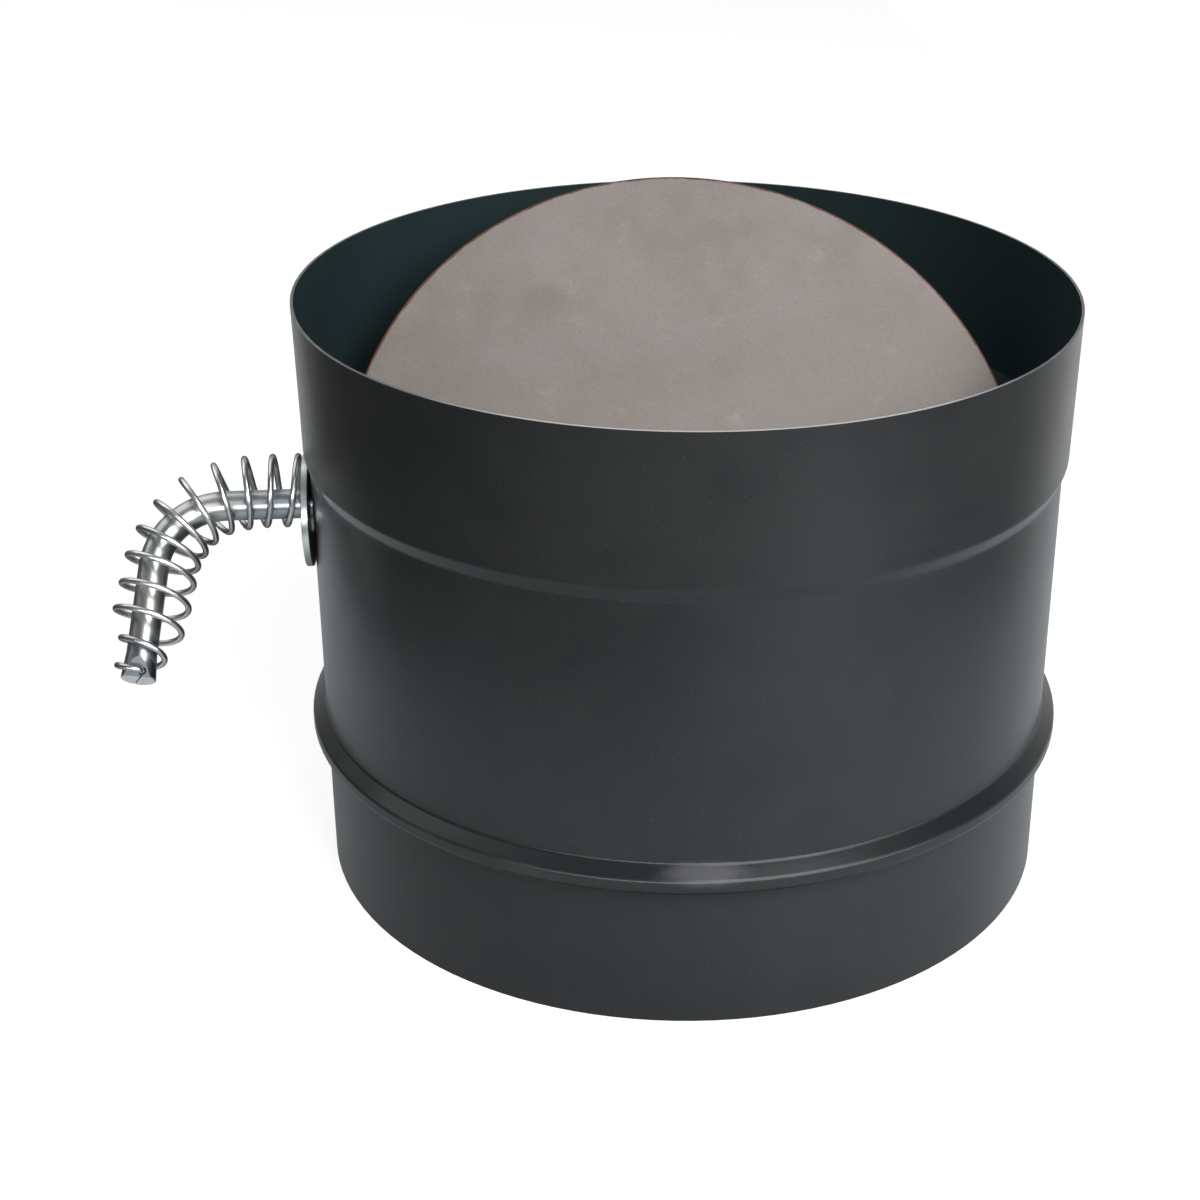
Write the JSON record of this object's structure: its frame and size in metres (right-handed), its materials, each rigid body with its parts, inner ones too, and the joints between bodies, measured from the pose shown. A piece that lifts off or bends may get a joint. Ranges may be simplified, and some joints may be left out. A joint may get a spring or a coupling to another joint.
{
  "type": "stovepipe damper",
  "caption": "Round stovepipe section with a flared collar, stop bead and plain male end; a round plate inside turns on a rod with a bent, coil-wrapped handle.",
  "frame": {"origin": "centre of the male end's cut edge, on the pipe's axis", "axes": "+Z along the pipe's axis from the male end to the collar, +X along the rod away from the handle, +Y towards the side where the plate's edge is raised"},
  "size_m": [0.2598, 0.2108, 0.1754],
  "materials": {
    "black_satin_paint": "satin matt black heat paint",
    "plate_steel": "bare hot-rolled sheet, satin, slightly mottled",
    "zinc_rod": "bright zinc plating",
    "spring_wire": "bright zinc plated spring wire",
    "zinc_washer": "bright zinc plating",
    "zinc_fasteners": "dull zinc plating",
    "strap_steel": "pressed steel strip, plain",
    "rivet_steel": "plain steel, hammered heads"
  },
  "bodies": {
    "pipe": {"pipe_body": "black_satin_paint", "handle_washer": "zinc_washer"},
    "damper": {"damper_plate": "plate_steel", "damper_shaft": "zinc_rod", "handle_spring": "spring_wire", "inner_washer": "zinc_washer", "split_pin": "zinc_fasteners", "near_saddle": "strap_steel", "far_saddle": "strap_steel", "saddle_rivets": "rivet_steel", "lock_screw": "zinc_fasteners", "lock_washer": "zinc_fasteners", "lock_nut": "zinc_fasteners"}
  },
  "joints": [
    {"name": "damper_turn", "type": "hinge", "parent": "pipe", "child": "damper", "pos_m": [0, 0, 0.1046], "axis": [1, 0, 0], "continuous": true}
  ]
}
